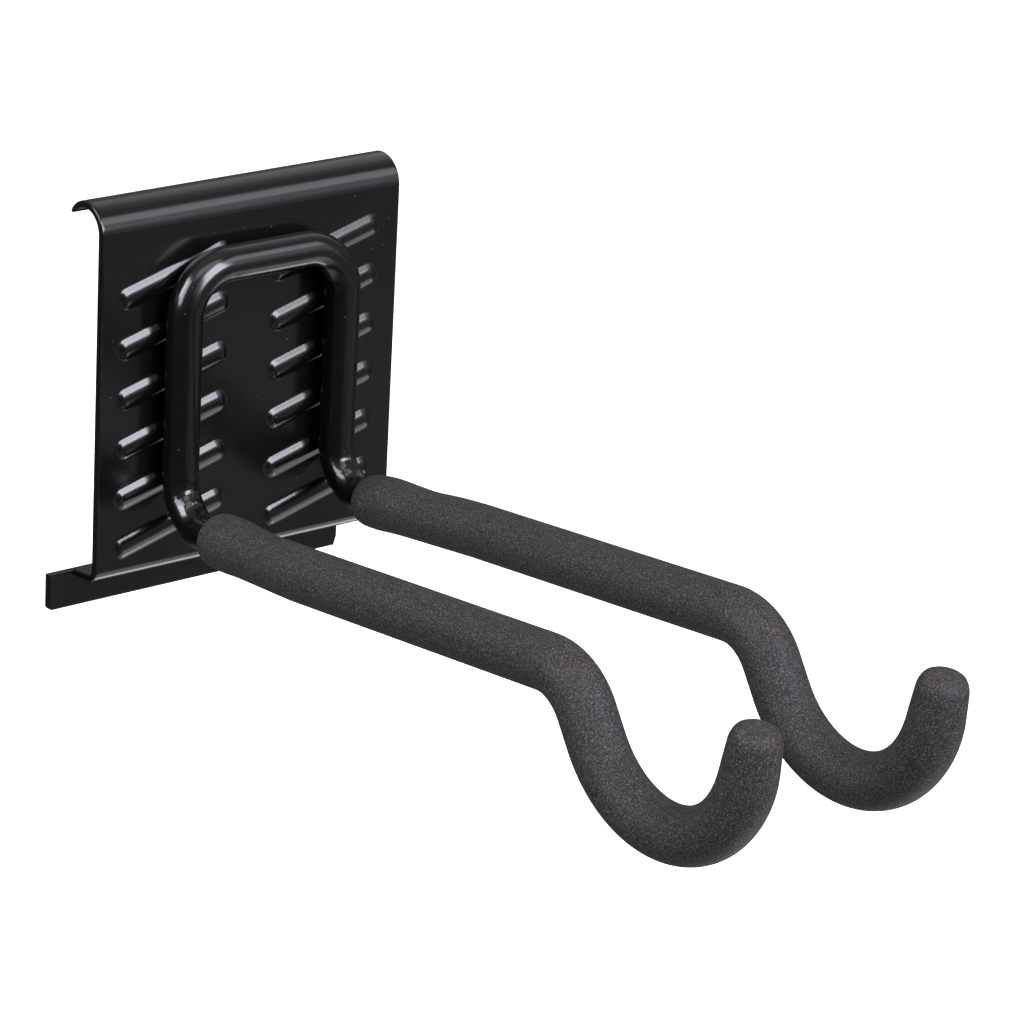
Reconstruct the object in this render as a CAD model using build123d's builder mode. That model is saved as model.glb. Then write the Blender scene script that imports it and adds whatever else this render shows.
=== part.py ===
from build123d import *

import os
from math import cos, radians, sin, tan

# Garage utility hook for a wall rail: a folded sheet plate carries one bent rod, whose two arms
# run forward, drop into a cradle and rise to their tips, with a foam sleeve on each arm. A flat
# bar crosses the rear edge of the plate's bottom shelf.
# Millimetres. The origin is the centre of the plate's flat back face, +X is to the right of
# someone who faces the wall, -Y points away from the wall and +Z is up.

# Back plate, one folded sheet
plate_width = 100.0
sheet = 2.0
face_rise = 48.5  # origin to the start of the top curl
curl_inner_radius = 6.1
curl_sweep_angle = 153.0  # degrees, from the front face over the top
curl_bevel_length = 2.6  # lead-in inside the curl's end, along the sheet
curl_bevel_depth = 1.6  # and through it
shelf_drop = 50.0  # origin to the underside of the bottom shelf at the fold
shelf_fall_angle = 4.2  # the shelf's slope down towards the back
shelf_depth = 8.8  # back face to the shelf's rear edge
bend_inner_radius = 1.5

# Flat bar across the shelf's rear edge, set off to the left of the plate
bar_left_overhang = 7.4  # beyond the plate's left edge
bar_right_inset = 9.0  # inside the plate's right edge
bar_height = 10.3
bar_thickness = 2.5
bar_top = 49.5  # origin down to the bar's upper edge
bar_left_corner_radius = 1.0
bar_right_cut_width = 0.9
bar_right_cut_height = 2.7

# Pressed ribs, slanted up to the right, in two columns
rib_columns = 2
rib_rows = 6
rib_column_pitch = 50.5
rib_row_pitch = 14.25
rib_pattern_x = -0.75
rib_pattern_z = -1.05
rib_slant_angle = 15.3
rib_length = 36.8
rib_width = 6.0
rib_height = 1.0
rib_foot_radius = 0.8

# Bent rod
rod_diameter = 10.0
weld_sink = 0.1  # how far the rod is pressed into the rib crests
bail_width = 53.2  # between the centre lines of the two legs
bail_top = 37.4
bail_corner_radius = 13.6
leg_drop = 20.7  # origin to the start of the knees
knee_radius = 12.6
splay_angle = 3.78  # outward turn of the first run
first_rise_angle = 5.28
first_straight = 45.9
splay_radius = 21.3
arm_rise_angle = 5.77
arm_straight = 101.1
shoulder_radius = 17.0
drop_angle = 56.88  # below the horizontal
drop_straight = 7.9
cradle_radius = 30.0
tip_angle = 81.8
rod_end_chamfer = 0.8

# Foam grip sleeves
sleeve_diameter = 15.0
sleeve_clearance = 0.1  # between the rod and the bore, all round
sleeve_setback = 4.3  # end of the knee to the sleeve's rim
sleeve_rim_radius = 1.5
tip_straight = 12.3  # end of the cradle bend to the sleeve's end face
tip_wall = 6.0  # foam beyond the end of the rod
tip_edge_radius = 4.0

# Derived sizes of the sheet, the bar and the ribs
mid_y = -sheet / 2
curl_radius = curl_inner_radius + sheet / 2
curl_end_angle = 180 - curl_sweep_angle
shelf_mid_z = -shelf_drop + sheet / 2
shelf_run = shelf_depth + sheet  # past the rear edge, which is then cut upright
shelf_fall = (shelf_run - mid_y) * tan(radians(shelf_fall_angle))
bar_left = -plate_width / 2 - bar_left_overhang
bar_right = plate_width / 2 - bar_right_inset
bar_bottom = bar_top + bar_height
crest_radius = (rib_width**2 / 4 + rib_height**2) / (2 * rib_height)
crest_depth = crest_radius - rib_height
rod_y = -(sheet + rib_height + rod_diameter / 2 - weld_sink)


def heading(pitch, yaw=0.0):
    """Unit vector away from the wall, pitched up and turned to the right by degrees."""
    level = cos(radians(pitch))
    return Vector(level * sin(radians(yaw)), -level * cos(radians(yaw)), sin(radians(pitch)))


def setback(radius, turn):
    """Distance from the corner where two runs would meet to the start of the bend."""
    return radius * tan(radians(turn) / 2)


# The rod's runs and the corners where they would meet
leg_heading = Vector(0, 0, -1)
first_heading = heading(first_rise_angle, splay_angle)
arm_heading = heading(arm_rise_angle)
drop_heading = heading(-drop_angle)
tip_heading = heading(tip_angle)

knee_setback = setback(knee_radius, leg_heading.get_angle(first_heading))
splay_setback = setback(splay_radius, first_heading.get_angle(arm_heading))
shoulder_setback = setback(shoulder_radius, arm_rise_angle + drop_angle)
cradle_setback = setback(cradle_radius, drop_angle + tip_angle)

bail_corner = Vector(bail_width / 2, rod_y, bail_top)
knee_corner = Vector(bail_width / 2, rod_y, -leg_drop - knee_setback)
splay_corner = knee_corner + first_heading * (knee_setback + first_straight + splay_setback)
shoulder_corner = splay_corner + arm_heading * (splay_setback + arm_straight + shoulder_setback)
cradle_corner = shoulder_corner + drop_heading * (shoulder_setback + drop_straight + cradle_setback)
sleeve_start = knee_corner + first_heading * (knee_setback + sleeve_setback)
sleeve_end = cradle_corner + tip_heading * (cradle_setback + tip_straight)
rod_end = sleeve_end - tip_heading * tip_wall
bore_end = rod_end + tip_heading * sleeve_clearance

# Right half of the rod's centre line from the bail to the tip, with the radius of each bend
right_corners = [bail_corner, knee_corner, splay_corner, shoulder_corner, cradle_corner]
right_radii = [bail_corner_radius, knee_radius, splay_radius, shoulder_radius, cradle_radius]
left_corners = [Vector(-corner.X, corner.Y, corner.Z) for corner in reversed(right_corners)]
left_rod_end = Vector(-rod_end.X, rod_end.Y, rod_end.Z)

arm_corners = [splay_corner, shoulder_corner, cradle_corner]
arm_radii = [splay_radius, shoulder_radius, cradle_radius]


# Hook rod: tip, cradle, arm, knee, leg and bail, and the same back down the other side
with BuildPart() as hook_rod:
    with BuildLine() as rod_line:
        FilletPolyline(
            left_rod_end,
            *left_corners,
            *right_corners,
            rod_end,
            radius=right_radii[::-1] + right_radii,
        )
    with BuildSketch(Plane(rod_line.line @ 0, z_dir=rod_line.line % 0)):
        Circle(rod_diameter / 2)
    sweep()
    rod_end_faces = hook_rod.faces().filter_by(GeomType.PLANE)
    chamfer(rod_end_faces.edges(), rod_end_chamfer)

# Right sleeve: foam tube over the arm, closed and rounded at the tip
with BuildPart() as right_grip_sleeve:
    with BuildLine():
        FilletPolyline(sleeve_start, *arm_corners, sleeve_end, radius=arm_radii)
    with BuildSketch(Plane(sleeve_start, z_dir=first_heading)):
        Circle(sleeve_diameter / 2)
    sweep()
    sleeve_end_faces = right_grip_sleeve.faces().filter_by(GeomType.PLANE)
    fillet(sleeve_end_faces.sort_by(Axis.Y)[0].edges(), tip_edge_radius)
    fillet(sleeve_end_faces.sort_by(Axis.Y)[-1].edges(), sleeve_rim_radius)
    with BuildLine():
        FilletPolyline(sleeve_start, *arm_corners, bore_end, radius=arm_radii)
    with BuildSketch(Plane(sleeve_start, z_dir=first_heading)):
        Circle(rod_diameter / 2 + sleeve_clearance)
    sweep(mode=Mode.SUBTRACT)

# Left sleeve: the same piece on the other arm
with BuildPart() as left_grip_sleeve:
    mirror(right_grip_sleeve.part, about=Plane.YZ)

# Forms of one pressed rib, lying along X with the front face at Z = 0: the crest that stands
# proud of the face and the groove that the punch leaves behind it, one sheet thickness apart
with BuildPart() as rib_crest:
    with BuildSketch(Plane.XY.offset(-crest_depth)):
        SlotCenterToCenter(rib_length - rib_width, 2 * crest_radius)
        split(bisect_by=Plane.XZ, keep=Keep.TOP)
    revolve(axis=Axis((0, 0, -crest_depth), (1, 0, 0)))
    split(bisect_by=Plane.XY.offset(-sheet / 2), keep=Keep.TOP)

with BuildPart() as rib_groove:
    with BuildSketch(Plane.XY.offset(-crest_depth)):
        SlotCenterToCenter(rib_length - rib_width, 2 * (crest_radius - sheet))
        split(bisect_by=Plane.XZ, keep=Keep.TOP)
    revolve(axis=Axis((0, 0, -crest_depth), (1, 0, 0)))

# Back plate: curl, face and shelf folded from one sheet, then pressed with ribs
rib_field = Plane(origin=(rib_pattern_x, -sheet, rib_pattern_z), x_dir=(1, 0, 0), z_dir=(0, -1, 0))
with BuildPart() as back_plate:
    with BuildSketch(Plane.YZ):
        with BuildLine():
            CenterArc((mid_y + curl_radius, face_rise), curl_radius, curl_end_angle, curl_sweep_angle)
            FilletPolyline(
                (mid_y, face_rise),
                (mid_y, shelf_mid_z),
                (shelf_run, shelf_mid_z - shelf_fall),
                radius=bend_inner_radius + sheet / 2,
            )
        trace(line_width=sheet)
    extrude(amount=plate_width / 2, both=True)
    curl_end = back_plate.faces().filter_by(GeomType.PLANE).sort_by(Axis.Y)[-1]
    chamfer(
        curl_end.edges().filter_by(Axis.X).sort_by(Axis.Y)[0],
        length=curl_bevel_depth,
        length2=curl_bevel_length,
        reference=curl_end,
    )
    with BuildSketch(Plane.YZ):
        with Locations((shelf_depth, shelf_mid_z)):
            Rectangle(shelf_run, shelf_run, align=(Align.MIN, Align.CENTER))
    extrude(amount=plate_width / 2, both=True, mode=Mode.SUBTRACT)
    with Locations(rib_field):
        with GridLocations(rib_column_pitch, rib_row_pitch, rib_columns, rib_rows):
            add(rib_crest.part, rotation=(0, 0, rib_slant_angle))
            add(rib_groove.part, rotation=(0, 0, rib_slant_angle), mode=Mode.SUBTRACT)
    front_face = back_plate.faces().filter_by(Axis.Y).sort_by(SortBy.AREA)[-1]
    fillet(front_face.inner_wires().edges(), rib_foot_radius)
    add(hook_rod.part, mode=Mode.SUBTRACT)

# Rail bar: flat bar against the shelf's rear edge
with BuildPart() as rail_bar:
    with BuildSketch(Plane.XZ.offset(-shelf_depth)):
        with BuildLine():
            Polyline(
                (bar_left, -bar_top),
                (bar_right, -bar_top),
                (bar_right, bar_right_cut_height - bar_bottom),
                (bar_right - bar_right_cut_width, -bar_bottom),
                (bar_left, -bar_bottom),
                close=True,
            )
        bar_outline = make_face()
        fillet(bar_outline.vertices().sort_by(Axis.X)[:2].sort_by(Axis.Y)[0], bar_left_corner_radius)
    extrude(amount=-bar_thickness)

back_plate.part.label = "back_plate"
rail_bar.part.label = "rail_bar"
hook_rod.part.label = "hook_rod"
left_grip_sleeve.part.label = "left_grip_sleeve"
right_grip_sleeve.part.label = "right_grip_sleeve"

os.makedirs("parts", exist_ok=True)
export_step(back_plate.part, "parts/back_plate.step")
export_step(rail_bar.part, "parts/rail_bar.step")
export_step(hook_rod.part, "parts/hook_rod.step")
export_step(left_grip_sleeve.part, "parts/left_grip_sleeve.step")
export_step(right_grip_sleeve.part, "parts/right_grip_sleeve.step")
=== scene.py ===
from math import cos, pi, radians, sin, tan

import bpy
import numpy as np
from mathutils import Matrix, Quaternion, Vector


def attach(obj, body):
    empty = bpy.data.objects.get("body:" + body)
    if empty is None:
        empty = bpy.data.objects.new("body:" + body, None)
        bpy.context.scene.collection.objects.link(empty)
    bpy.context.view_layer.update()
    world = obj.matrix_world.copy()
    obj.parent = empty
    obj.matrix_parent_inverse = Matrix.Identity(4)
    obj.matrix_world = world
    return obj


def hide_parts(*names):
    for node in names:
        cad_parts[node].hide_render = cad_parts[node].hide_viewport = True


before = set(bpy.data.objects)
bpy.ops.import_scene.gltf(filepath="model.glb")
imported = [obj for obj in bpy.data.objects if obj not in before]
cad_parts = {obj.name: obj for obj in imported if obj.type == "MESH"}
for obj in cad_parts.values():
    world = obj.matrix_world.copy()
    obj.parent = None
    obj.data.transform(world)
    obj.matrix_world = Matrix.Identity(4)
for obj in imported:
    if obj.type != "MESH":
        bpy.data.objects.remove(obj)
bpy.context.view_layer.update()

# Garage utility hook: a black powder-coated rail plate and rod with two charcoal foam sleeves.
# Sizes are in metres and angles in degrees, in the frame of the part: origin at the centre of the
# plate's back face, +X right, -Y away from the wall, +Z up.

MM = 0.001

# Back plate, with the radii of its folds on the sheet's mid line
PLATE_WIDTH = 100 * MM
SHEET = 2 * MM
FACE_RISE = 48.5 * MM
CURL_RADIUS = 7.1 * MM
CURL_SWEEP = 153.0
CURL_BEVEL_LENGTH = 3 * MM
CURL_BEVEL_DEPTH = 1.6 * MM
CURL_TIP = 0.3 * MM  # sheet left at the thin end of the bevel
CURL_CORNER_RADIUS = 0.6 * MM
SHELF_DROP = 50 * MM
SHELF_FALL = 4.2
SHELF_DEPTH = 8.8 * MM
BEND_RADIUS = 2.5 * MM
EDGE_RADIUS = 0.45 * MM

# Flat bar across the shelf's rear edge
BAR_LEFT = -57.4 * MM
BAR_RIGHT = 41 * MM
BAR_TOP = -49.5 * MM
BAR_BOTTOM = -59.8 * MM
BAR_THICKNESS = 2.5 * MM
BAR_CORNER_RADIUS = 1 * MM
BAR_CUT_WIDTH = 0.9 * MM
BAR_CUT_HEIGHT = 2.7 * MM
BAR_EDGE_RADIUS = 0.3 * MM

# Pressed ribs
RIB_COLUMNS = (-26 * MM, 24.5 * MM)
RIB_ROWS = 6
RIB_PITCH = 14.25 * MM
RIB_MIDDLE = -1.05 * MM
RIB_SLANT = 15.3
RIB_LENGTH = 36.8 * MM
RIB_WIDTH = 6 * MM
RIB_HEIGHT = 1 * MM
RIB_FOOT_RADIUS = 1.3 * MM
RIB_END_STEEPNESS = 1.45

# Bent rod
ROD_RADIUS = 5 * MM
ROD_CHAMFER = 0.8 * MM
ROD_Y = -7.9 * MM
BAIL_HALF = 26.6 * MM
BAIL_TOP = 37.4 * MM
BAIL_CORNER_RADIUS = 13.6 * MM
LEG_DROP = 20.7 * MM
KNEE_RADIUS = 12.6 * MM
SPLAY = 3.78
FIRST_RISE = 5.28
FIRST_STRAIGHT = 45.9 * MM
SPLAY_RADIUS = 21.3 * MM
ARM_RISE = 5.77
ARM_STRAIGHT = 101.1 * MM
SHOULDER_RADIUS = 17 * MM
DROP_PITCH = 56.88
DROP_STRAIGHT = 7.9 * MM
CRADLE_RADIUS = 30 * MM
TIP_PITCH = 81.8

# Marks of the bending tool inside the knees: depths, and places and spreads in degrees round the knee
KNEE_DENT = 0.3 * MM
KNEE_DENT_AT = 24
KNEE_DENT_SPREAD = 9
KNEE_RIDGE = 0.22 * MM
KNEE_RIDGE_AT = 47
KNEE_RIDGE_SPREAD = 6
KNEE_FADE = 1.5  # power with which they fade towards the rod's sides
KNEE_SWAY = 3
KNEE_SWAY_WAVE = 0.9 * MM
KNEE_JITTER = 2
KNEE_JITTER_WAVE = 0.43 * MM
KNEE_GRAIN = 0.07 * MM
KNEE_GRAIN_WAVES = (0.31 * MM, 0.5 * MM)
KNEE_GRAIN_TURNS = (3, 2.3)

# Foam sleeves
SLEEVE_RADIUS = 7.5 * MM
BORE_RADIUS = 5.1 * MM
SLEEVE_SETBACK = 4.3 * MM
RIGHT_REACH_BACK = 4.0 * MM
LEFT_REACH_BACK = -1.4 * MM
NOSE_INNER = 0.6 * MM
NOSE_OUTER = 3.2 * MM
NOSE_BULGE = 0.35 * MM
NOSE_BULGE_AT = 7 * MM
NOSE_BULGE_SPREAD = 6 * MM
WAIST = 0.6 * MM
WAIST_AT = 25 * MM
WAIST_SPREAD = 9 * MM
RIGHT_DROOP = 0.8 * MM
LEFT_DROOP = 0.2 * MM
DROOP_SPREAD = 8 * MM
TIP_STRAIGHT = 12.3 * MM
TIP_WALL = 6 * MM
TIP_EDGE_RADIUS = 4.6 * MM
TIP_TAPER = 0.9 * MM
TIP_TAPER_SPREAD = 10 * MM

# Fineness of the meshes
LINE_STEP = 0.1 * MM
EDGE_STEPS = np.array((0.0, 0.08, 0.3, 0.62, 1.0))  # rows on a rolled edge, in shares of its radius
ROUND_STEPS = 9
CURL_ROWS = 50
FACE_ROWS = 250
BEND_ROWS = 22
SHELF_ROWS = 14
PLATE_COLUMNS = 134
BAR_ROWS = 26
BAR_COLUMNS = 90
ROD_RING = 64
ROD_SHOWN_ROWS = 640
ROD_HIDDEN_ROWS = 90
ROD_SHOWN_PAST_KNEE = 12 * MM
SLEEVE_RING = 72
BORE_ROWS = 60
WALL_STEP = 0.9 * MM
TIP_RINGS = (0.66, 0.33)  # on the flat of the tip, in shares of its radius


# Lines and meshes


def heading(pitch, yaw=0.0):
    """Unit vector away from the wall, pitched up and turned to the right."""
    level = cos(radians(pitch))
    return np.array((level * sin(radians(yaw)), -level * cos(radians(yaw)), sin(radians(pitch))))


def route(start, towards, moves):
    """Points along a line of straight runs (a length) and tangent bends (a radius and a heading)."""
    at = np.array(start, float)
    towards = np.array(towards, float)
    points = [at[None]]
    for move in moves:
        if not isinstance(move, tuple):
            steps = np.linspace(0, move, max(2, int(move / LINE_STEP)))[1:, None]
            run = at + steps * towards
            at = run[-1]
        else:
            radius, new = move
            turn = np.arccos(np.clip(np.dot(towards, new), -1, 1))
            inward = new - towards * np.dot(towards, new)
            inward /= np.linalg.norm(inward)
            centre = at + radius * inward
            angles = np.linspace(0, turn, max(3, int(radius * turn / LINE_STEP)))[1:, None]
            run = centre + radius * (np.sin(angles) * towards - np.cos(angles) * inward)
            at = run[-1]
            towards = new
        points.append(run)
    return np.concatenate(points)


def mirrored(points):
    """The same points on the other side of the part's middle."""
    return points * np.array((-1, 1, 1))


def lengths(points):
    """Distance along a line of points to each of them."""
    return np.concatenate(([0], np.cumsum(np.linalg.norm(np.diff(points, axis=0), axis=1))))


def read(points, stations):
    """Places and unit headings at distances along a line of points."""
    along = lengths(points)

    def at(distances):
        return np.stack([np.interp(distances, along, points[:, i]) for i in range(3)], axis=1)

    ahead = at(np.clip(stations + LINE_STEP, 0, along[-1]))
    behind = at(np.clip(stations - LINE_STEP, 0, along[-1]))
    towards = ahead - behind
    return at(stations), towards / np.linalg.norm(towards, axis=1, keepdims=True)


def carried_frames(towards, first):
    """Two unit vectors across each heading, carried along the line without twist."""
    across = np.empty_like(towards)
    side = np.array(first, float)
    for i, way in enumerate(towards):
        side = side - way * np.dot(side, way)
        side = side / np.linalg.norm(side)
        across[i] = side
    return across, np.cross(towards, across)


def hump(distance, spread):
    """1 at no distance, falling smoothly to nothing over about twice the spread."""
    return np.exp(-((distance / spread) ** 2))


def rounding(inside, radius):
    """How far a round edge or corner falls short at a distance inside the outline."""
    low = np.clip(inside, 0, radius)
    return radius - np.sqrt(radius**2 - (radius - low) ** 2)


def spaced(length, radius, count):
    """Distances over a length, close together on the rolled edge at each end and even between them."""
    edge = radius * EDGE_STEPS
    return np.concatenate((edge[:-1], np.linspace(radius, length - radius, count), length - edge[-2::-1]))


def mesh_object(name, vertices, faces):
    """A smooth-shaded mesh object in the scene."""
    mesh = bpy.data.meshes.new(name)
    mesh.from_pydata([tuple(v) for v in vertices], [], faces)
    mesh.update()
    mesh.shade_smooth()
    piece = bpy.data.objects.new(name, mesh)
    bpy.context.scene.collection.objects.link(piece)
    return piece


def turned_piece(name, line, profile, first, ring, relief=None):
    """A closed body turned about a line.

    The profile holds (distance along the line, radius), and its first and last points become poles.
    Angles round the line start at the first direction, and relief is added to the radius.
    """
    stations = np.array([p[0] for p in profile])
    radii = np.array([p[1] for p in profile])
    centres, towards = read(line, np.clip(stations, 0, None))
    order = np.argsort(stations, kind="stable")
    across, up = np.empty_like(towards), np.empty_like(towards)
    across[order], up[order] = carried_frames(towards[order], first)
    angles = np.linspace(0, 2 * pi, ring, endpoint=False)
    reach = np.repeat(radii[:, None], ring, axis=1)
    if relief is not None:
        reach = reach + relief(stations[:, None], angles[None], radii[:, None])
    reach[0] = 0
    reach[-1] = 0
    points = (
        centres[:, None]
        + reach[..., None] * (np.cos(angles)[None, :, None] * across[:, None]
                              + np.sin(angles)[None, :, None] * up[:, None])
    )
    rows = len(profile)
    body = points[1:-1].reshape(-1, 3)
    vertices = np.concatenate((points[0, :1], body, points[-1, :1]))
    faces = []
    last = len(vertices) - 1
    for j in range(ring):
        k = (j + 1) % ring
        faces.append((0, 1 + k, 1 + j))
        for i in range(rows - 3):
            a = 1 + i * ring
            faces.append((a + j, a + k, a + ring + k, a + ring + j))
        a = 1 + (rows - 3) * ring
        faces.append((a + j, a + k, last))
    return mesh_object(name, vertices, faces)


def closed_sheet(name, front, rear):
    """A closed mesh between two grids of points, walled in along their borders."""
    rows, cols = front.shape[:2]
    vertices = np.concatenate((front.reshape(-1, 3), rear.reshape(-1, 3)))
    rear_from = rows * cols
    faces = []
    for i in range(rows - 1):
        for j in range(cols - 1):
            a = i * cols + j
            faces.append((a, a + 1, a + cols + 1, a + cols))
            b = rear_from + a
            faces.append((b, b + cols, b + cols + 1, b + 1))
    border = list(range(cols))
    border += [i * cols + cols - 1 for i in range(1, rows)]
    border += [(rows - 1) * cols + j for j in range(cols - 2, -1, -1)]
    border += [i * cols for i in range(rows - 2, 0, -1)]
    for a, b in zip(border, border[1:] + border[:1]):
        faces.append((b, a, rear_from + a, rear_from + b))
    return mesh_object(name, vertices, faces)


# Centre lines: the rod's right half from the middle of the bail to the tip, and the whole rod
FIRST = heading(FIRST_RISE, SPLAY)
ARM = heading(ARM_RISE)
DROP = heading(-DROP_PITCH)
TIP = heading(TIP_PITCH)
DOWN = np.array((0.0, 0.0, -1.0))
RIGHT = np.array((1.0, 0.0, 0.0))
TO_TIP = [
    (SPLAY_RADIUS, ARM),
    ARM_STRAIGHT,
    (SHOULDER_RADIUS, DROP),
    DROP_STRAIGHT,
    (CRADLE_RADIUS, TIP),
    TIP_STRAIGHT,
]

bail_middle = (0, ROD_Y, BAIL_TOP)
leg_length = BAIL_TOP - BAIL_CORNER_RADIUS + LEG_DROP
bail_moves = [BAIL_HALF - BAIL_CORNER_RADIUS, (BAIL_CORNER_RADIUS, DOWN), leg_length, (KNEE_RADIUS, FIRST)]
to_knee = route(bail_middle, RIGHT, bail_moves)
right_half = route(bail_middle, RIGHT, bail_moves + [FIRST_STRAIGHT] + TO_TIP)
rod_line = np.concatenate((mirrored(right_half)[:0:-1], right_half))


def covered_arm(reach_back):
    """Line of the right sleeve, which starts further back than the part's by the given length."""
    setback = SLEEVE_SETBACK - reach_back
    return route(to_knee[-1] + FIRST * setback, FIRST, [FIRST_STRAIGHT - setback] + TO_TIP)


# Rod and sleeves


def rod():
    """The bent rod, from the left tip over the bail to the right tip, coarser inside the sleeves."""
    whole = lengths(rod_line)[-1]
    hidden = whole / 2 - lengths(to_knee)[-1] - ROD_SHOWN_PAST_KNEE
    start = TIP_WALL
    stop = whole - TIP_WALL
    stations = np.concatenate((
        np.linspace(start + ROD_CHAMFER, hidden, ROD_HIDDEN_ROWS, endpoint=False),
        np.linspace(hidden, whole - hidden, ROD_SHOWN_ROWS),
        np.linspace(whole - hidden, stop - ROD_CHAMFER, ROD_HIDDEN_ROWS + 1)[1:],
    ))
    profile = [(start, 0), (start, ROD_RADIUS - ROD_CHAMFER)]
    profile += [(s, ROD_RADIUS) for s in stations]
    profile += [(stop, ROD_RADIUS - ROD_CHAMFER), (stop, 0)]
    return creased(turned_piece("hook_rod_steel", rod_line, profile, (0, 0, 1), ROD_RING))


def creased(piece):
    """Press the marks of the bending tool into the inner side of both knees."""
    points = np.array([v.co[:] for v in piece.data.vertices])
    x = points[:, 0]
    side = np.abs(x) - BAIL_HALF
    behind = points[:, 1] - (ROD_Y - KNEE_RADIUS)
    below = -LEG_DROP - points[:, 2]
    reach = np.hypot(behind, below)
    turned = np.degrees(np.arctan2(below, behind))
    inner = np.clip((KNEE_RADIUS - reach) / ROD_RADIUS, 0, 1) ** KNEE_FADE
    sway = KNEE_SWAY * np.sin(side / KNEE_SWAY_WAVE) + KNEE_JITTER * np.sin(x / KNEE_JITTER_WAVE)
    dent = hump(turned - KNEE_DENT_AT + sway, KNEE_DENT_SPREAD)
    ridge = hump(turned - KNEE_RIDGE_AT + sway, KNEE_RIDGE_SPREAD)
    across = np.sin(x / KNEE_GRAIN_WAVES[0] + turned / KNEE_GRAIN_TURNS[0])
    along = np.sin(side / KNEE_GRAIN_WAVES[1] + turned / KNEE_GRAIN_TURNS[1])
    grain = KNEE_GRAIN * across * along
    push = inner * (KNEE_DENT * dent - KNEE_RIDGE * ridge + grain * (dent + ridge))
    share = push / np.maximum(reach, MM)
    points[:, 1] += share * behind
    points[:, 2] -= share * below
    piece.data.vertices.foreach_set("co", points.ravel())
    piece.data.update()
    return piece


def sleeve(name, line, droop):
    """A foam tube over one arm, with a round nose that droops and a closed tip that tapers."""
    whole = lengths(line)[-1]

    def slack(stations, angles, radii):
        """How far the foam strays outwards from a plain tube."""
        outer = np.clip((radii - BORE_RADIUS) / (SLEEVE_RADIUS - BORE_RADIUS), 0, 1)
        top = np.clip(np.sin(angles), 0, 1)
        bulge = NOSE_BULGE * hump(stations - NOSE_BULGE_AT, NOSE_BULGE_SPREAD)
        waist = WAIST * hump(stations - WAIST_AT, WAIST_SPREAD)
        sag = droop * hump(stations, DROOP_SPREAD)
        taper = TIP_TAPER * hump(whole - stations, TIP_TAPER_SPREAD)
        return outer * (bulge - taper - (waist + sag) * top)

    quarter = np.linspace(0, pi / 2, ROUND_STEPS)
    floor = whole - TIP_WALL
    lip = SLEEVE_RADIUS - BORE_RADIUS - NOSE_INNER
    flat = SLEEVE_RADIUS - TIP_EDGE_RADIUS
    profile = [(floor, 0), (floor, BORE_RADIUS)]
    profile += [(s, BORE_RADIUS) for s in np.linspace(floor, NOSE_INNER, BORE_ROWS)[1:-1]]
    profile += [(NOSE_INNER * (1 - sin(a)), BORE_RADIUS + NOSE_INNER * (1 - cos(a))) for a in quarter]
    profile += [(NOSE_OUTER * (1 - cos(a)), SLEEVE_RADIUS - lip * (1 - sin(a))) for a in quarter[1:]]
    profile += [(s, SLEEVE_RADIUS) for s in np.arange(NOSE_OUTER, whole - TIP_EDGE_RADIUS, WALL_STEP)[1:]]
    profile += [(whole - TIP_EDGE_RADIUS * (1 - sin(a)), flat + TIP_EDGE_RADIUS * cos(a)) for a in quarter]
    profile += [(whole, flat * share) for share in TIP_RINGS]
    profile.append((whole, 0))
    return turned_piece(name, line, profile, RIGHT, SLEEVE_RING, slack)


# Plate and bar


def rib_relief(x, z):
    """Height of the pressed ribs at points of the face: a round crest that meets a round foot."""
    crest = (RIB_WIDTH**2 / 4 + RIB_HEIGHT**2) / (2 * RIB_HEIGHT)
    centres_apart = crest + RIB_FOOT_RADIUS
    foot = np.sqrt(centres_apart**2 - (centres_apart - RIB_HEIGHT) ** 2)
    change = foot * crest / centres_apart
    half_run = (RIB_LENGTH - RIB_WIDTH / RIB_END_STEEPNESS) / 2
    slant = radians(RIB_SLANT)
    relief = np.zeros_like(x)
    for column in RIB_COLUMNS:
        for row in range(RIB_ROWS):
            middle = RIB_MIDDLE + (row - (RIB_ROWS - 1) / 2) * RIB_PITCH
            along = (x - column) * cos(slant) + (z - middle) * sin(slant)
            beside = (z - middle) * cos(slant) - (x - column) * sin(slant)
            beyond = RIB_END_STEEPNESS * np.maximum(np.abs(along) - half_run, 0)
            off = np.hypot(beside, beyond)
            dome = np.sqrt(np.maximum(crest**2 - off**2, 0)) - (crest - RIB_HEIGHT)
            valley = RIB_FOOT_RADIUS - np.sqrt(np.maximum(RIB_FOOT_RADIUS**2 - (foot - off) ** 2, 0))
            relief = np.maximum(relief, np.where(off < change, dome, np.where(off < foot, valley, 0)))
    return relief


def folded_line():
    """The sheet's mid line from the curl's end to the shelf's, and where curl, face and bend end on it."""
    mid = -SHEET / 2
    shelf_z = -SHELF_DROP + SHEET / 2
    top = np.array((0.0, mid, FACE_RISE))
    lip = np.array((0.0, sin(radians(CURL_SWEEP)), cos(radians(CURL_SWEEP))))
    shelf = np.array((0.0, cos(radians(SHELF_FALL)), -sin(radians(SHELF_FALL))))
    turn = radians(90 - SHELF_FALL)
    setback = BEND_RADIUS * tan(turn / 2)
    face_length = FACE_RISE - shelf_z - setback
    shelf_length = (SHELF_DEPTH - mid) / cos(radians(SHELF_FALL)) - setback
    curl = route(top, -DOWN, [(CURL_RADIUS, lip)])
    fold = route(top, DOWN, [face_length, (BEND_RADIUS, shelf), shelf_length])
    curl_end = lengths(curl)[-1]
    face_end = curl_end + face_length
    bend_end = face_end + BEND_RADIUS * turn
    return np.concatenate((curl[:0:-1], fold)), curl_end, face_end, bend_end


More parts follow.
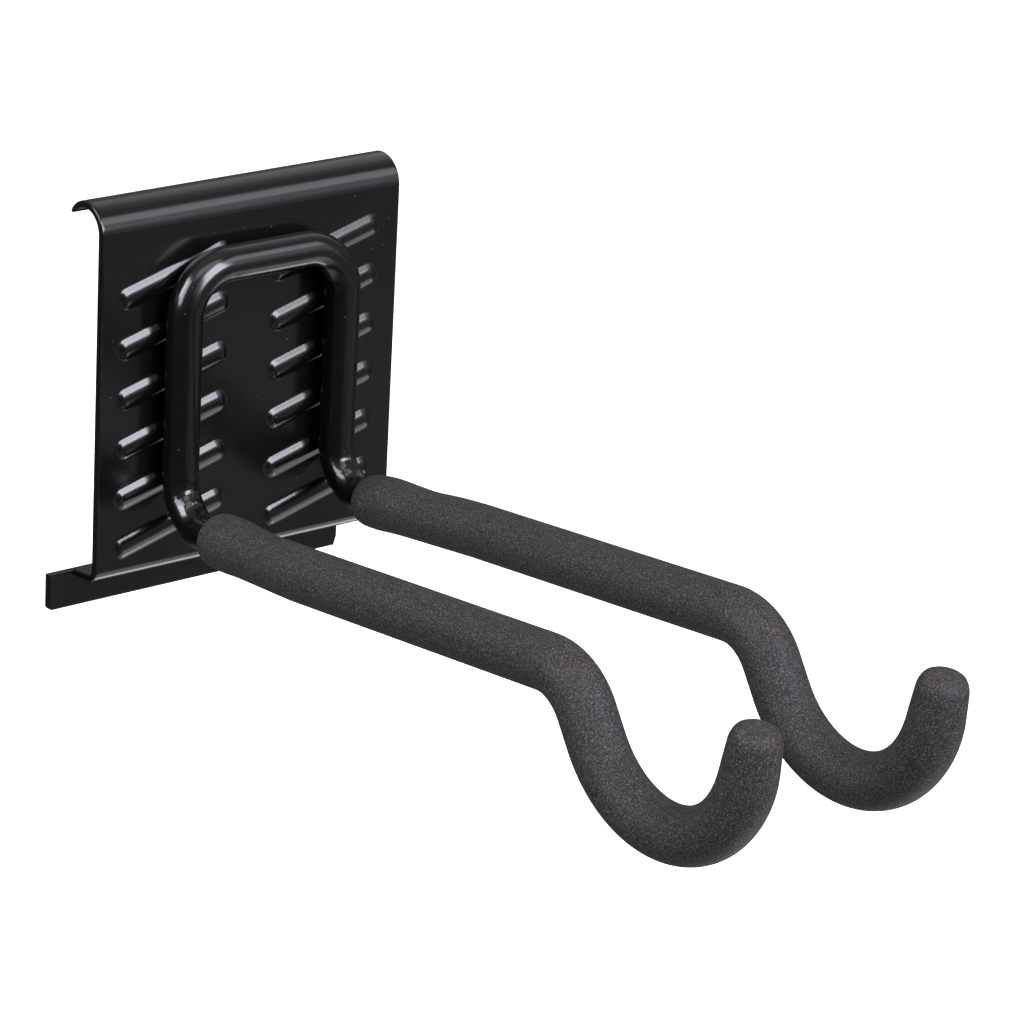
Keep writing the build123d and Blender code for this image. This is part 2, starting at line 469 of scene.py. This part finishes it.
def plate():
    """The folded sheet, closed all round, with rolled cut edges and pressed ribs."""
    line, curl_end, face_end, bend_end = folded_line()
    stations = np.concatenate((
        EDGE_RADIUS * EDGE_STEPS[:-1],
        np.linspace(EDGE_RADIUS, curl_end, CURL_ROWS, endpoint=False),
        np.linspace(curl_end, face_end, FACE_ROWS, endpoint=False),
        np.linspace(face_end, bend_end, BEND_ROWS, endpoint=False),
        np.linspace(bend_end, lengths(line)[-1], SHELF_ROWS),
    ))
    centres, towards = read(line, stations)
    outward = np.cross(towards, RIGHT)

    # The curl's corners are round, so its first rows are narrower
    half = PLATE_WIDTH / 2
    row_half = (half - rounding(stations, CURL_CORNER_RADIUS))[:, None]
    columns = spaced(PLATE_WIDTH, EDGE_RADIUS, PLATE_COLUMNS) - half
    x = columns[None] * row_half / half
    s = np.repeat(stations[:, None], len(columns), axis=1)
    z = np.repeat(centres[:, 2:3], len(columns), axis=1)
    thick = SHEET / 2 - rounding(np.minimum(row_half - np.abs(x), s), EDGE_RADIUS)

    on_face = (s >= curl_end) & (s <= face_end)
    relief = np.where(on_face, rib_relief(x, z), 0)
    bevel = CURL_BEVEL_DEPTH * np.clip(1 - s / CURL_BEVEL_LENGTH, 0, 1)
    inner = np.minimum(bevel - thick, thick - CURL_TIP)
    middle = centres[:, None] + x[..., None] * RIGHT
    front = middle + (relief + thick)[..., None] * outward[:, None]
    rear = middle + (relief + inner)[..., None] * outward[:, None]
    for side in (front, rear):
        side[-1, :, 1] = SHELF_DEPTH
    return closed_sheet("back_plate_steel", front, rear)


def bar():
    """The flat bar behind the shelf, with one round corner and one cut corner."""
    height = BAR_TOP - BAR_BOTTOM
    width = BAR_RIGHT - BAR_LEFT
    drops = spaced(height, BAR_EDGE_RADIUS, BAR_ROWS)[:, None]
    across = spaced(width, BAR_EDGE_RADIUS, BAR_COLUMNS) / width
    up = height - drops
    left = BAR_LEFT + rounding(up, BAR_CORNER_RADIUS)
    right = BAR_RIGHT - BAR_CUT_WIDTH * np.clip(1 - up / BAR_CUT_HEIGHT, 0, 1)
    x = left + (right - left) * across
    inside = np.minimum(np.minimum(x - left, right - x), np.minimum(drops, up))
    thick = BAR_THICKNESS / 2 - rounding(inside, BAR_EDGE_RADIUS)
    y = SHELF_DEPTH + BAR_THICKNESS / 2
    z = np.repeat(BAR_TOP - drops, len(across), axis=1)
    front = np.stack((x, y - thick, z), axis=-1)
    rear = np.stack((x, y + thick, z), axis=-1)
    return closed_sheet("rail_bar_steel", front, rear)


# Materials, whose noise scales count cells to the metre

COAT_BLACK = (0.0026, 0.0025, 0.0024)
COAT_ROUGHNESS = [(0.3, 0.15), (0.7, 0.19)]
COAT_CLOUD_SCALE = 60
COAT_PEEL_SCALE = 900
COAT_GRAIN_SCALE = 2600
DUST_GREY = (0.11, 0.1, 0.09)
DUST_SPACING = 3.2 * MM
DUST_SIZE = 0.18 * MM
DUST_CORE = 0.6  # solid share of a speck's radius
DUST_SHARE = 0.5  # of the cells that hold a speck
DUST_CUT = 0.01  # width of the step between bare and picked cells
FOAM_GRAIN_SCALE = 2300
FOAM_TONES = [
    (0.34, (0.009, 0.0084, 0.0083)),
    (0.5, (0.0228, 0.0212, 0.0209)),
    (0.6, (0.045, 0.0419, 0.0412)),
    (0.72, (0.095, 0.0884, 0.087)),
]


def material(name):
    """A new material with its nodes, links and shader."""
    made = bpy.data.materials.new(name)
    made.use_nodes = True
    tree = made.node_tree
    return made, tree.nodes, tree.links, tree.nodes["Principled BSDF"]


def noise(nodes, links, scale, detail=2.0, roughness=0.5):
    """A noise texture in the object's own coordinates."""
    coordinates = nodes.new("ShaderNodeTexCoord")
    texture = nodes.new("ShaderNodeTexNoise")
    texture.inputs["Scale"].default_value = scale
    texture.inputs["Detail"].default_value = detail
    texture.inputs["Roughness"].default_value = roughness
    links.new(coordinates.outputs["Object"], texture.inputs["Vector"])
    return texture


def ramp(nodes, links, source, stops):
    """A colour ramp from (place, grey or colour) stops."""
    node = nodes.new("ShaderNodeValToRGB")
    elements = node.color_ramp.elements
    while len(elements) < len(stops):
        elements.new(0.5)
    for element, (place, colour) in zip(elements, stops):
        element.position = place
        if not isinstance(colour, tuple):
            colour = (colour, colour, colour)
        element.color = (*colour, 1)
    links.new(source, node.inputs["Fac"])
    return node


def bump(nodes, links, height, strength, distance, normal=None):
    """A bump from a height, on top of an earlier bump's normal if one is given."""
    node = nodes.new("ShaderNodeBump")
    node.inputs["Strength"].default_value = strength
    node.inputs["Distance"].default_value = distance
    links.new(height, node.inputs["Height"])
    if normal is not None:
        links.new(normal, node.inputs["Normal"])
    return node


def dust(nodes, links):
    """Mask of small round specks, each in a cell of its own."""
    coordinates = nodes.new("ShaderNodeTexCoord")
    cells = nodes.new("ShaderNodeTexVoronoi")
    cells.inputs["Scale"].default_value = 1 / DUST_SPACING
    links.new(coordinates.outputs["Object"], cells.inputs["Vector"])
    edge = DUST_SIZE / DUST_SPACING
    near = ramp(nodes, links, cells.outputs["Distance"], [(DUST_CORE * edge, 1), (edge, 0)])
    draw = nodes.new("ShaderNodeSeparateColor")
    links.new(cells.outputs["Color"], draw.inputs["Color"])
    bare = 1 - DUST_SHARE
    picked = ramp(nodes, links, draw.outputs["Red"], [(bare, 0), (bare + DUST_CUT, 1)])
    both = nodes.new("ShaderNodeMath")
    both.operation = "MULTIPLY"
    links.new(near.outputs["Color"], both.inputs[0])
    links.new(picked.outputs["Color"], both.inputs[1])
    return both.outputs["Value"]


def powder_coat():
    """Semi-gloss black powder coat with orange peel, fine grain and specks of dust."""
    made, nodes, links, shader = material("black_powder_coat")
    tint = ramp(nodes, links, dust(nodes, links), [(0, COAT_BLACK), (1, DUST_GREY)])
    links.new(tint.outputs["Color"], shader.inputs["Base Color"])
    peel = noise(nodes, links, COAT_PEEL_SCALE)
    soft = bump(nodes, links, peel.outputs["Fac"], strength=0.25, distance=0.02 * MM)
    grain = noise(nodes, links, COAT_GRAIN_SCALE, detail=1.0)
    fine = bump(nodes, links, grain.outputs["Fac"], strength=0.35, distance=0.012 * MM,
                normal=soft.outputs["Normal"])
    links.new(fine.outputs["Normal"], shader.inputs["Normal"])
    cloud = noise(nodes, links, COAT_CLOUD_SCALE, detail=4.0)
    rough = ramp(nodes, links, cloud.outputs["Fac"], COAT_ROUGHNESS)
    links.new(rough.outputs["Color"], shader.inputs["Roughness"])
    return made


def foam():
    """Closed-cell foam rubber with fine open grain and light specks."""
    made, nodes, links, shader = material("charcoal_foam")
    grain = noise(nodes, links, FOAM_GRAIN_SCALE, roughness=0.6)
    tint = ramp(nodes, links, grain.outputs["Fac"], FOAM_TONES)
    links.new(tint.outputs["Color"], shader.inputs["Base Color"])
    shader.inputs["Roughness"].default_value = 0.62
    shader.inputs["Specular IOR Level"].default_value = 0.16
    pits = bump(nodes, links, grain.outputs["Fac"], strength=0.9, distance=0.12 * MM)
    links.new(pits.outputs["Normal"], shader.inputs["Normal"])
    return made


# Pieces


def fit(piece, node, finish):
    """Give a piece its finish, and let it stand for a node of the part."""
    piece.data.materials.append(finish)
    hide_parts(node)
    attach(piece, "root")


coat = powder_coat()
rubber = foam()
right_arm = covered_arm(RIGHT_REACH_BACK)
left_arm = mirrored(covered_arm(LEFT_REACH_BACK))
fit(plate(), "back_plate", coat)
fit(bar(), "rail_bar", coat)
fit(rod(), "hook_rod", coat)
right_sleeve = sleeve("right_sleeve_foam", right_arm, RIGHT_DROOP)
fit(right_sleeve, "right_grip_sleeve", rubber)
left_sleeve = sleeve("left_sleeve_foam", left_arm, LEFT_DROOP)
fit(left_sleeve, "left_grip_sleeve", rubber)


# Camera, set as the photograph was taken

CAMERA_AT = Vector((-0.72383, -0.97132, 0.41013))
CAMERA_RIGHT = Vector((0.77407, -0.63106, 0.05093))
CAMERA_UP = Vector((0.18146, 0.29821, 0.93709))
CAMERA_LENS = 162.92
SENSOR_SIDE = 36
CAMERA_REACH = 50

lens = bpy.data.cameras.new("camera")
lens.lens = CAMERA_LENS
lens.sensor_width = SENSOR_SIDE
lens.sensor_height = SENSOR_SIDE
lens.sensor_fit = "HORIZONTAL"
lens.clip_end = CAMERA_REACH
camera = bpy.data.objects.new("camera", lens)
bpy.context.scene.collection.objects.link(camera)
camera_turn = Matrix((CAMERA_RIGHT, CAMERA_UP, CAMERA_RIGHT.cross(CAMERA_UP))).transposed()
camera.matrix_world = Matrix.Translation(CAMERA_AT) @ camera_turn.to_4x4()
bpy.context.scene.camera = camera


# Floor, lights and room

FLOOR_Z = -0.4
FLOOR_REACH = 6.0
LIGHT_DISTANCE = 2.0
LILAC = (0.9, 0.88, 1.0)
COOL = (0.9, 0.9, 1.0)
WARM = (1.0, 0.96, 0.93)
NEUTRAL = (1.0, 1.0, 0.99)

# Elevation and brightness of the room round the part
ROOM_STOPS = [
    (-90, 1.0), (-72, 0.9), (-63, 0.45), (-50, 0.22), (-43, 0.15), (-30, 0.12),
    (-20, 0.06), (0, 0.1), (20, 0.25), (40, 0.29), (60, 0.35), (90, 0.6),
]
ROOM_STRENGTH = 2.0


def white_floor():
    """A plain white floor below the part, which only the camera sees."""
    mesh = bpy.data.meshes.new("floor")
    corners = [(-1, -1), (1, -1), (1, 1), (-1, 1)]
    mesh.from_pydata([(x * FLOOR_REACH, y * FLOOR_REACH, FLOOR_Z) for x, y in corners], [], [(0, 1, 2, 3)])
    made = bpy.data.objects.new("floor", mesh)
    bpy.context.scene.collection.objects.link(made)
    paper, _, _, shader = material("pale_floor")
    shader.inputs["Base Color"].default_value = (0.9, 0.9, 0.9, 1)
    shader.inputs["Roughness"].default_value = 0.9
    shader.inputs["Emission Color"].default_value = (1, 1, 1, 1)
    shader.inputs["Emission Strength"].default_value = 0.75
    mesh.materials.append(paper)
    made.visible_glossy = False
    made.visible_diffuse = False
    made.visible_shadow = False
    return made


def bearing(azimuth, elevation):
    """Direction from the part, with the azimuth to the right of straight out from the wall."""
    level = cos(radians(elevation))
    return Vector((level * sin(radians(azimuth)), -level * cos(radians(azimuth)), sin(radians(elevation))))


def softbox(name, azimuth, elevation, wide, high, radiance, colour, roll=0.0):
    """A rectangular light that faces the part and spans the given angles as the part sees it."""
    data = bpy.data.lights.new(name, "AREA")
    data.shape = "RECTANGLE"
    data.size = 2 * LIGHT_DISTANCE * tan(radians(wide) / 2)
    data.size_y = 2 * LIGHT_DISTANCE * tan(radians(high) / 2)
    data.energy = radiance * pi * data.size * data.size_y
    data.color = colour
    box = bpy.data.objects.new(name, data)
    bpy.context.scene.collection.objects.link(box)
    box.location = bearing(azimuth, elevation) * LIGHT_DISTANCE
    facing = box.location.to_track_quat("Z", "Y")
    box.rotation_euler = (facing @ Quaternion((0, 0, 1), radians(roll))).to_euler()
    box.visible_camera = False


def studio():
    """A room whose brightness depends on the elevation alone."""
    world = bpy.data.worlds.new("studio")
    world.use_nodes = True
    nodes = world.node_tree.nodes
    links = world.node_tree.links
    direction = nodes.new("ShaderNodeTexCoord")
    split = nodes.new("ShaderNodeSeparateXYZ")
    links.new(direction.outputs["Generated"], split.inputs["Vector"])
    height = nodes.new("ShaderNodeMapRange")
    height.inputs["From Min"].default_value = -1
    links.new(split.outputs["Z"], height.inputs["Value"])
    stops = [((1 + sin(radians(elevation))) / 2, value / ROOM_STRENGTH) for elevation, value in ROOM_STOPS]
    room = ramp(nodes, links, height.outputs["Result"], stops)
    links.new(room.outputs["Color"], nodes["Background"].inputs["Color"])
    nodes["Background"].inputs["Strength"].default_value = ROOM_STRENGTH
    return world


floor = white_floor()

# Azimuth, elevation, width, height, radiance, colour and roll of each light
softbox("key", 9.5, 26, 26, 40, 15, LILAC, 21)
softbox("key_veil", -8, 27, 24, 30, 1.0, LILAC)
softbox("skirt_high", 41, 35, 26, 20, 2.3, LILAC)
softbox("skirt_middle", 38, 24, 32, 36, 0.6, LILAC)
softbox("skirt_low", 32, 14, 50, 44, 0.3, LILAC)
softbox("front_glow", 35, 0, 90, 40, 0.12, NEUTRAL)
softbox("left", -86, 29, 22, 36, 10, COOL)
softbox("far_left", -106, 34, 18, 28, 14, COOL)
softbox("overhead", -22, 60, 44, 24, 2.4, WARM)
softbox("back", 122, 40, 28, 30, 0.5, LILAC)
softbox("back_skirt", 118, 40, 44, 48, 0.22, WARM)
softbox("low_face", 30, -32, 70, 30, 0.2, NEUTRAL)
softbox("low_right", 89, -61, 24, 20, 3.7, NEUTRAL)
softbox("low_band", 64, -44, 50, 18, 1.25, NEUTRAL)
softbox("low_front", 38, -60, 26, 18, 0.6, NEUTRAL)

bpy.context.scene.world = studio()
bpy.context.scene.view_settings.view_transform = "Standard"
